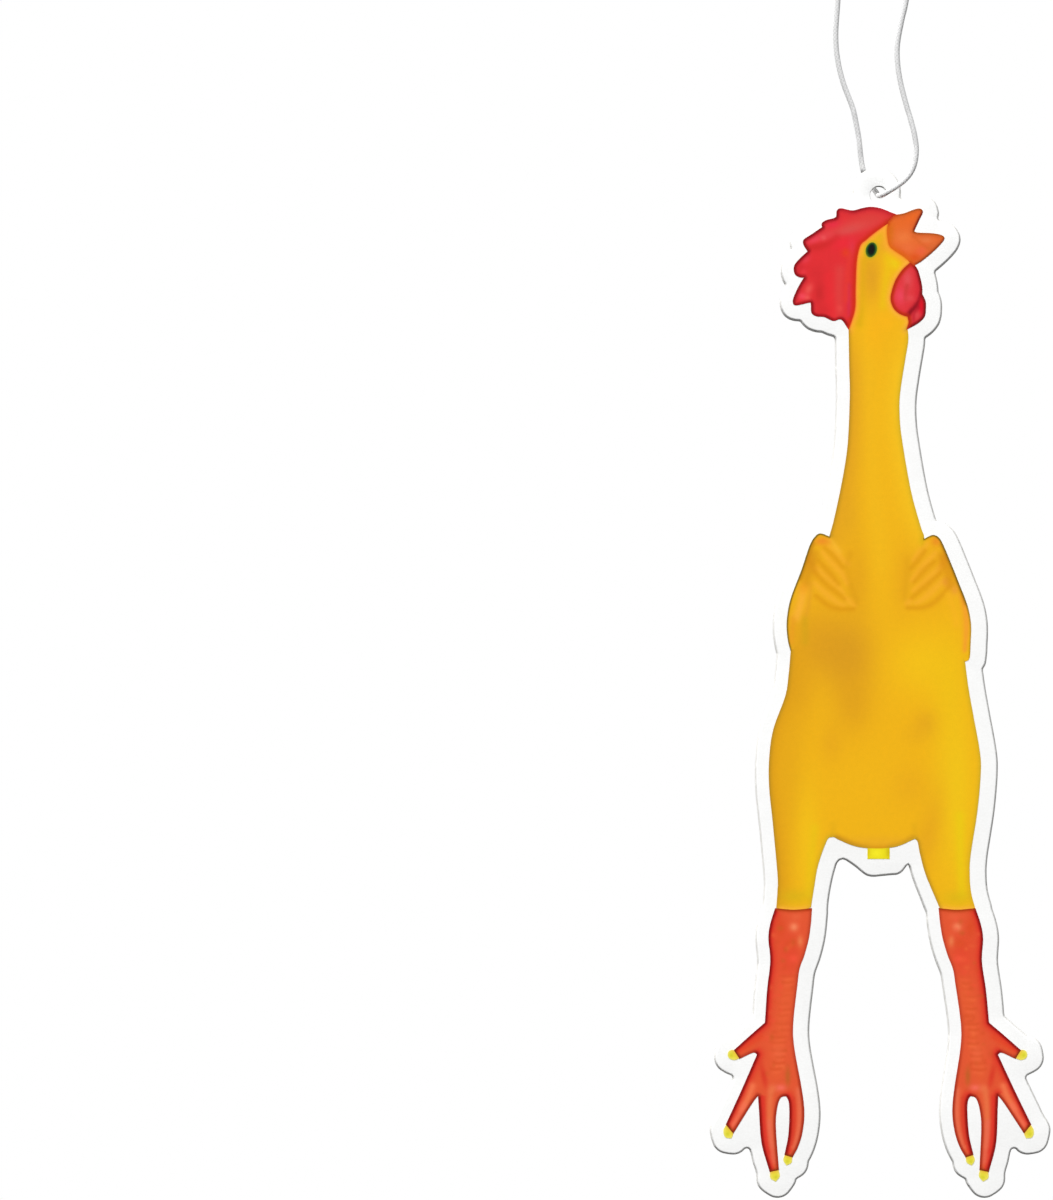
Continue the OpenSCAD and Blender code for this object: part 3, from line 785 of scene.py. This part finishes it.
def paint_wings(p):
    paint_body(p)
    p.spot("#f0902a", -9.2, -58.2, 1.4, 0.7, 0.9)
    p.spot("#dd8a1a", -11.2, -61.6, 0.8, 2.0, 0.7, lean=25)
    p.spot("#ee9028", 9.9, -58.2, 0.9, 0.8, 0.85)
    p.spot("#e08a1c", 11.4, -61.2, 0.7, 1.8, 0.6, lean=-24)
    p.spot("#ef9a3a", 11.5, -65, 0.6, 0.8, 0.7)
    p.stroke("#da941c", [[-10.5, -60.4], [-11.4, -63.2], [-11.9, -65.2]], 0.9, 0.7)
    p.stroke("#dc921a", [[10.9, -60.8], [11.9, -63.6], [12.4, -65.4]], 0.9, 0.7)
    p.spot("#f0a038", 13.0, -66.3, 0.7, 0.9, 0.75)
    p.spot("#f3a424", -12.3, -66.0, 0.9, 1.0, 0.75)
    p.stroke("#c07c18", [[-10.7, -58.6], [-11.8, -61.6], [-12.8, -64.4]], 0.4, 0.6)
    p.stroke("#b87414", [[10.8, -58.8], [12.1, -61.8], [13.5, -65.2], [14.8, -68.6]], 0.35, 0.6)
    p.rim("#7d651e", 0.25, 0.9, side=(-1, 0.2), power=3, within=(-12, -66, 6, 14))
    p.rim("#80601c", 0.26, 0.85, side=(1, 0.2), power=3, within=(12, -61, 6, 9))
    p.rim("#77611c", 0.26, 0.85, side=(0, 1), power=3)


def paint_comb(p):
    p.spot("#e2504a", -3.5, -5.6, 4.6, 1.2, 0.75, lean=12)
    p.spot("#dc443e", -1.2, -4.3, 2.8, 1.0, 0.7)
    p.spot("#d95450", -5, -6.5, 2.6, 0.7, 0.7, lean=16)
    p.stroke("#cd2c2b", [[-11.2, -9.2], [-9, -8.9], [-6.8, -7.6]], 0.7, 0.75)
    p.spot("#f2495c", -10.4, -7.9, 1.5, 0.55, 0.85, lean=24)
    p.spot("#f07068", -8.9, -7.6, 0.4, 0.4, 0.7)
    p.spot("#e84a50", -8.4, -7.3, 1.6, 0.8, 0.6, lean=14)
    p.spot("#ee2f4a", -7.4, -5.4, 1.3, 0.6, 0.7, lean=12)
    p.spot("#f02c3c", -5.4, -8.6, 2.2, 1.4, 0.65)
    p.spot("#dc4456", -4.2, -9.2, 0.6, 1.4, 0.4)
    p.spot("#e5481c", -5.2, -10.1, 0.7, 0.7, 0.6)
    p.spot("#cf2c34", -12.6, -12.8, 0.7, 0.9, 0.6)
    p.spot("#ef4658", -11.9, -11.2, 0.8, 0.6, 0.7, lean=35)
    p.spot("#f0404c", -12.2, -13.3, 0.5, 0.5, 0.6)
    p.spot("#d32f33", -10, -13.6, 1.6, 1.6, 0.5)
    p.stroke("#df4c46", [[-6.2, -13], [-6.4, -16], [-6.4, -20]], 0.9, 0.55)
    p.stroke("#d83250", [[-4.7, -15.5], [-4.7, -18], [-4.6, -20.6]], 0.35, 0.75)
    p.stroke("#e84034", [[-4.6, -10.5], [-4.9, -14], [-5.2, -18]], 0.5, 0.5)
    p.stroke("#ee2f36", [[-8, -14], [-7.9, -17], [-7.4, -20]], 1.0, 0.5)
    p.spot("#c42a2c", -9.6, -16.8, 0.9, 1.8, 0.6)
    p.spot("#f05c56", -11.4, -16.2, 0.6, 1.0, 0.8, lean=-25)
    p.spot("#f84e60", -12.5, -17.4, 0.8, 0.6, 0.85, lean=-15)
    p.spot("#f2655c", -11.6, -17.6, 0.5, 0.4, 0.6)
    p.spot("#d22c30", -9, -19.6, 1.2, 0.8, 0.5)
    p.spot("#f0504c", -6.2, -19.4, 0.5, 0.5, 0.5)
    p.rim("#c42a34", 0.7, 0.75, side=(0, 1))
    p.rim("#84121c", 0.46, 0.98, side=(-1, 0), power=3)
    p.rim("#94181c", 0.4, 0.75, side=(0, -1), power=3)
    p.rim("#cc2c16", 0.6, 0.9, beside="skin")
    p.rim("#d84a20", 0.14, 0.8, beside="skin")
    p.rim("#c0321c", 0.4, 0.8, beside="beak")


def paint_beak(p):
    p.spot("#ea6c2c", 3.6, -5.2, 1.6, 1.3, 0.8)
    p.spot("#ee6c28", 5.9, -4.0, 1.3, 0.8, 0.85, lean=25)
    p.spot("#d96e1c", 2.3, -7.0, 0.7, 1.8, 0.85)
    p.spot("#f07d40", 4.4, -7.6, 1.7, 1.3, 0.85)
    p.spot("#ef7340", 5.2, -9.3, 1.4, 0.9, 0.7)
    p.spot("#ee6442", 7.4, -9.9, 1.3, 0.9, 0.8, lean=35)
    p.spot("#e8824e", 8.2, -8.0, 1.4, 0.6, 0.6)
    p.spot("#e0541f", 6.3, -11.0, 1.0, 0.7, 0.85)
    p.spot("#e05a24", 4.2, -10.2, 1.4, 0.5, 0.6, lean=-35)
    p.spot("#db6e3a", 9.2, -9.0, 1.2, 0.5, 0.7, lean=35)
    p.stroke("#d8642c", [[6.0, -7.4], [7.4, -8.6], [8.6, -9.4]], 0.3, 0.5)
    p.rim("#c4582c", 0.6, 0.6)
    p.rim("#8c3c1c", 0.3, 0.9, side=(0.7, -0.7), power=3)
    p.rim("#7e2410", 0.3, 0.95, side=(1, -0.2), power=3, within=(6.8, -4.8, 1.6, 2.4))
    p.rim("#a8571c", 0.27, 0.8, side=(-0.3, 1), power=3)
    p.rim("#dc6616", 0.5, 0.9, beside="skin")
    p.rim("#c8431c", 0.35, 0.8, beside="comb")
    p.rim("#c8401c", 0.35, 0.8, beside="wattle")


def paint_wattle(p):
    p.spot("#f04a60", 3.9, -17.3, 1.0, 1.4, 0.85)
    p.spot("#e6565c", 5.1, -14.6, 0.8, 1.6, 0.75)
    p.stroke("#c93a38", [[5.0, -15.6], [4.8, -16.8], [4.8, -17.8]], 0.4, 0.6)
    p.stroke("#d82c38", [[6.6, -14], [6.7, -16], [6.5, -17.6]], 0.4, 0.6)
    p.spot("#e64e54", 5.5, -17.7, 0.8, 0.6, 0.7)
    # the far lobe, under the near one
    p.stroke("#86101e", [[7.35, -16.9], [7.0, -18.2], [6.4, -19.1], [5.7, -19.8], [5.2, -20.5]], 0.4, 0.85,
             ends=[0.7, 1.2, 1.0])
    p.spot("#e00c28", 7.45, -18.9, 0.5, 1.4, 0.98)
    p.stroke("#b01a2a", [[6.9, -19.2], [6.3, -20.2], [6.0, -21.4]], 0.3, 0.6)
    p.spot("#de4a50", 6.7, -20.6, 0.5, 0.7, 0.75)
    p.spot("#e04a4c", 5.7, -21.4, 0.35, 0.5, 0.6)
    p.rim("#a81c22", 0.5, 0.6)
    p.rim("#7a0e1a", 0.4, 0.97, power=3)
    p.rim("#b62e0a", 0.5, 0.95, beside="skin", power=3)
    p.rim("#bd320e", 0.3, 0.8, beside="beak")


def paint_eye(p):
    p.spot("#0b3f2c", -1.2, -9.2, 0.8, 0.9, 0.6)
    p.spot("#2f7a2c", -0.2, -8.9, 0.5, 0.9, 0.75, lean=-20)
    p.spot("#4f6a22", -1.5, -10.4, 0.5, 0.5, 0.6)
    p.rim("#8f9428", 0.22, 0.65, beside="skin")
    p.spot("#02100f", -0.92, -9.6, 0.6, 1.0, 1.0, lean=-12, power=4)


def paint_vent(p):
    p.spot("#fbee2c", -0.1, -110.2, 1.0, 0.8, 0.9)
    p.spot("#cdb61e", 1.9, -110, 0.4, 1.0, 0.8)
    p.spot("#d8bc22", -1.5, -109.9, 0.35, 0.9, 0.6)
    p.spot("#cf9a1e", 0.2, -109.0, 2.2, 0.3, 0.8)


LEG_LEAN = 0.015
ANKLE_Z = -139


def on_leg(side, x, z):
    """A point of the right leg on the leg of a side. Both lean a little the same way."""
    return [side * x + LEG_LEAN * (ANKLE_Z - z), z]


def paint_leg(p, s, rough):
    """The leg of side s, with its foot and toes, in points of the right leg."""
    def at(x, z):
        return on_leg(s, x, z)

    def on(*points):
        return [on_leg(s, x, z) for x, z in points]

    p.rim("#dd2a26", 0.95, 0.9, side=(s, 0))
    p.spot("#e74a32", *at(14.4, -127), 2.2, 4.0, 0.75)
    p.stroke("#ea6436", on([14.6, -132], [15.3, -136], [16, -140], [17, -147]), 1.4, 0.5)
    p.spot("#fb8f64", *at(13.6, -122.5), 0.7, 0.7, 0.9)
    p.spot("#ee6a44", *at(13.2, -120.8), 0.9, 0.6, 0.6)
    p.spot("#f48a58", *at(12.6, -124.9), 0.5, 0.9, 0.8)
    p.spot("#da5426", *at(14.0, -125.2), 1.3, 0.8, 0.4)
    p.spot("#ff5a44", *at(13.7, -127.8), 0.8, 0.6, 0.55)
    p.spot("#d8441f", *at(15.8, -122.6), 0.8, 1.6, 0.4)
    # mottled skin
    for k in range(34):
        x = rough.uniform(13.4, 17.4)
        z = rough.uniform(-147, -121)
        x += 0.12 * (-z - 128) * (z < -128)
        code = ("#d8502a", "#f4543a", "#c8602a", "#f2703e")[k % 4]
        p.spot(code, *at(x, z), rough.uniform(0.25, 0.6), rough.uniform(0.25, 0.6),
               rough.uniform(0.25, 0.55))
    # scales across the shank
    for k in range(15):
        z = -130.6 - 1.12 * k + rough.uniform(-0.18, 0.18)
        deep = rough.uniform(0.05, 0.26) + 0.01 * k
        x = 13.9 + 0.13 * k + rough.uniform(-0.4, 0.5)
        long = rough.uniform(0.55, 1.05)
        p.stroke("#cf4a22", on([x, z], [x + 1.3 * long, z - 0.16], [x + 2.3 * long, z]), 0.24, deep)
        p.stroke("#fa7448", on([x + 0.3, z - 0.55], [x + 1.7 * long, z - 0.64]), 0.26, deep)
    # foot and toes
    p.spot("#f06a44", *at(16.6, -143.4), 1.0, 1.2, 0.55)
    p.spot("#bd642a", *at(15.0, -147.4), 0.45, 1.6, 0.75)
    p.spot("#fb7260", *at(16.2, -149.3), 0.9, 0.55, 0.85)
    p.spot("#f07a4c", *at(17.7, -149.4), 0.8, 0.7, 0.75)
    p.spot("#d83026", *at(19.0, -147.4), 0.5, 2.2, 0.6, lean=-s * 12)
    p.stroke("#e8482a", on([19.4, -140.8], [21, -141.9], [22.8, -143.2]), 0.6, 0.5)
    p.stroke("#e65c34", on([20.4, -142.4], [22.4, -143.5]), 0.35, 0.5)
    p.stroke("#f87c50", on([20.9, -149], [21.6, -150.8], [22.6, -152.8]), 0.6, 0.85)
    p.stroke("#fa7456", on([22.3, -152.2], [23.2, -153.8], [24.2, -155.4]), 0.5, 0.8)
    p.stroke("#ee7648", on([17.9, -150], [18.1, -153], [18.1, -156.5], [17.9, -159]), 0.55, 0.85)
    p.stroke("#f06c58", on([18.2, -155], [18.0, -158], [17.5, -161.6]), 0.5, 0.6)
    p.stroke("#e0342c", on([19.2, -151], [19.1, -155], [18.5, -160]), 0.4, 0.6)
    p.stroke("#f07452", on([13.2, -149.6], [13.05, -153], [13.3, -156.4], [14.1, -159.2]), 0.5, 0.8)
    p.stroke("#d8402c", on([14.1, -151], [14.0, -155], [14.5, -158.6]), 0.35, 0.45)
    # the printed line round the leg
    p.rim("#861414", 0.42, 0.97, side=(s, 0), power=3)
    p.rim("#8e1c10", 0.36, 0.95, power=3, within=(s * 19, -155, 9, 11))
    p.rim("#b2402a", 0.42, 0.7, side=(-s, 0), power=2.5)
    p.rim("#7e3212", 0.36, 0.95, beside="claws")
    p.rim("#a43c14", 0.4, 0.9, beside="skin")


def paint_legs(p):
    rough = np.random.default_rng(5)
    for side in (-1, 1):
        mine = np.sign(p.at[:, 0]) == side
        before = p.colour.copy()
        paint_leg(p, side, rough)
        p.colour = np.where(mine[:, None], p.colour, before)


def paint_claws(p):
    p.rim("#f4eb8a", 0.3, 0.6)
    p.rim("#f0b43a", 0.35, 0.6, beside="legs")
    for side in (-1, 1):
        for x, z in ((24.4, -143.9), (25.2, -157.0), (17.2, -164.2), (15.3, -161.6)):
            p.spot("#d6d232", *on_leg(side, x, z), 0.35, 0.35, 0.8)


def linear(colour):
    """Display colours as the linear ones that a shader takes."""
    c = np.clip(colour, 0, 1)
    return np.where(c <= 0.04045, c / 12.92, ((c + 0.055) / 1.055) ** 2.4)


# the inks are darkened so far that under the scene's light they show the colours they were painted in
INK_GAIN = 0.925
HAZE = 0.008
DARKEST = 0.002
# strength of the screen grain
INK_GRAIN = 0.025
# each print's ground colour, brush, distance between points of its mesh, and roughness
PRINTS = {
    "skin": ("#f3b61d", paint_skin, 0.34, 0.5),
    "wings": ("#f3b61d", paint_wings, 0.26, 0.5),
    "comb": ("#e23337", paint_comb, 0.24, 0.46),
    "beak": ("#e8692f", paint_beak, 0.22, 0.46),
    "wattle": ("#e0383e", paint_wattle, 0.2, 0.46),
    "eye": ("#1d4a2a", paint_eye, 0.12, 0.4),
    "vent": ("#efdf22", paint_vent, 0.2, 0.5),
    "legs": ("#e75a37", paint_legs, 0.24, 0.46),
    "claws": ("#f0e246", paint_claws, 0.16, 0.5)}
# depths of the rows of points that follow a print's edge, and the sharpest bends that are rounded
EDGE_ROWS = (0.11, 0.23, 0.38, 0.58)
EYE_ROWS = (0.1, 0.2)
CORNER = 38
CLAW_CORNER = 75
AREAS = {}
for name in PRINTS:
    corner = CLAW_CORNER if name == "claws" else CORNER
    AREAS[name] = [smoothed(r, 0.22, corner) for r in cad_loops(f"front_{name}", -1)]


def borders_of(name, at):
    """For each thing beside a print, paper or another print, the distance of points from that border."""
    a, d = segments(AREAS[name])
    probe = a + d / 2 + unit(np.c_[d[:, 1], -d[:, 0]]) * 0.1
    beside = np.full(len(a), "paper", object)
    for other, rings in AREAS.items():
        if other != name:
            beside[inside(probe, rings)] = other
    return {other: from_segments(at, a[beside == other], d[beside == other]) for other in set(beside)}


def film_mesh(rings, flat, tri):
    """Points and faces of a film on the card's front: its top, its underside and its edge."""
    n = len(flat)
    count = sum(len(r) for r in rings)
    _, under = filled(rings)
    x, z = flat.T
    points = np.r_[np.c_[x, np.full(n, FRONT - INK), z],
                   np.c_[x[:count], np.full(count, FRONT), z[:count]]]
    faces = [tuple(t) for t in tri] + [(n + a, n + c, n + b) for a, b, c in under]
    faces += [(i, n + i, n + j, j) for i, j in ring_edges(rings)]
    return points, faces


for name, (base, brush, step, gloss) in PRINTS.items():
    rings = AREAS[name]
    extra = inner_points(rings, step, EYE_ROWS if name == "eye" else EDGE_ROWS)
    flat, tri = filled(rings, extra)
    paint = Paint(flat, base, borders_of(name, flat))
    brush(paint)
    points, faces = film_mesh(rings, flat, tri)
    painted = np.r_[paint.colour, paint.colour[:len(points) - len(flat)]]
    colour = np.maximum(linear(painted) * INK_GAIN - HAZE, DARKEST)
    ink = ink_material(f"print_{name}", gloss, INK_GRAIN)
    for side, sign in (("front", 1), ("back", -1)):
        turned = points * [1, sign, 1]
        these = faces if sign > 0 else [f[::-1] for f in faces]
        film = add_piece(f"{side}_{name}_print", turned, these, ink, smooth=False)
        set_colour(film, "ink", colour)
        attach(film, "card")
        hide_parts(f"{side}_{name}")


# floor and light
def soft_box(name, place, aim, size, power):
    """A round lamp, size metres across, that looks from a place at an aim."""
    lamp = bpy.data.lights.new(name, "AREA")
    lamp.shape = "DISK"
    lamp.size = size
    lamp.energy = power
    made = bpy.data.objects.new(name, lamp)
    made.location = place
    made.rotation_euler = (Vector(aim) - Vector(place)).to_track_quat("-Z", "Y").to_euler()
    bpy.context.scene.collection.objects.link(made)


CARD_MIDDLE = (0, 0, -0.15)
soft_box("key", (-1.5, -3.2, 3.85), CARD_MIDDLE, 2.4, 366)
soft_box("back_light", (-0.9, 1.3, 0.7), CARD_MIDDLE, 0.9, 24)

# the floor, a round sheet, under the hanging card
FLOOR_Z = -0.32 / MM + DROP
FLOOR_RINGS = (120, 260, 420, 600, 700)
FLOOR_SIDES = 64
floor_points, floor_faces = [(0, 0, FLOOR_Z)], []
for radius in FLOOR_RINGS:
    for a in np.arange(FLOOR_SIDES) * 2 * math.pi / FLOOR_SIDES:
        floor_points.append((radius * math.cos(a), radius * math.sin(a), FLOOR_Z))
for k in range(FLOOR_SIDES):
    j = (k + 1) % FLOOR_SIDES
    floor_faces.append((0, 1 + k, 1 + j))
    for ring in range(len(FLOOR_RINGS) - 1):
        a = 1 + ring * FLOOR_SIDES
        b = a + FLOOR_SIDES
        floor_faces.append((a + k, b + k, b + j, a + j))
floor_shade, tree, bsdf = shader("pale_floor")
out = node(tree, "ShaderNodeVectorMath", {0: in_mm(tree, (1, 1, 0))}, operation="LENGTH").outputs["Value"]
pale = ramp(tree, spread(tree, out, 200, 640, 0, 1), [(0.0, grey(0.5)), (1.0, grey(0.95))])
cloudy = spread(tree, noise(tree, in_mm(tree), 0.02, 3), 0.3, 0.7, 0.97, 1.0)
tree.links.new(shade(tree, pale, cloudy), bsdf.inputs["Base Color"])
bsdf.inputs["Roughness"].default_value = 0.9
floor = add_piece("floor", floor_points, floor_faces, floor_shade)
# the floor throws no light back up at the card
floor.visible_diffuse = False

# the room: bright towards SKY, darker below, and plain white where the camera looks past the object
SKY = (0.0, 0.25, 0.97)
world = bpy.data.worlds.new("studio")
bpy.context.scene.world = world
world.use_nodes = True
tree = world.node_tree
room = tree.nodes["Background"]
way = node(tree, "ShaderNodeTexCoord").outputs["Generated"]
lit = node(tree, "ShaderNodeVectorMath", {0: way, 1: SKY}, operation="DOT_PRODUCT")
height = spread(tree, lit.outputs["Value"], -1, 1, 0, 1)
dim = ramp(tree, height, [(0.25, grey(0.2)), (0.75, grey(0.8))])
tree.links.new(dim, room.inputs["Color"])
room.inputs["Strength"].default_value = 0.75
white = node(tree, "ShaderNodeBackground", {"Color": (1, 1, 1, 1), "Strength": 1.0})
seen = node(tree, "ShaderNodeLightPath").outputs["Is Camera Ray"]
mixed = node(tree, "ShaderNodeMixShader", {0: seen})
tree.links.new(room.outputs[0], mixed.inputs[1])
tree.links.new(white.outputs[0], mixed.inputs[2])
tree.links.new(mixed.outputs[0], tree.nodes["World Output"].inputs["Surface"])
bpy.context.scene.view_settings.view_transform = "Standard"
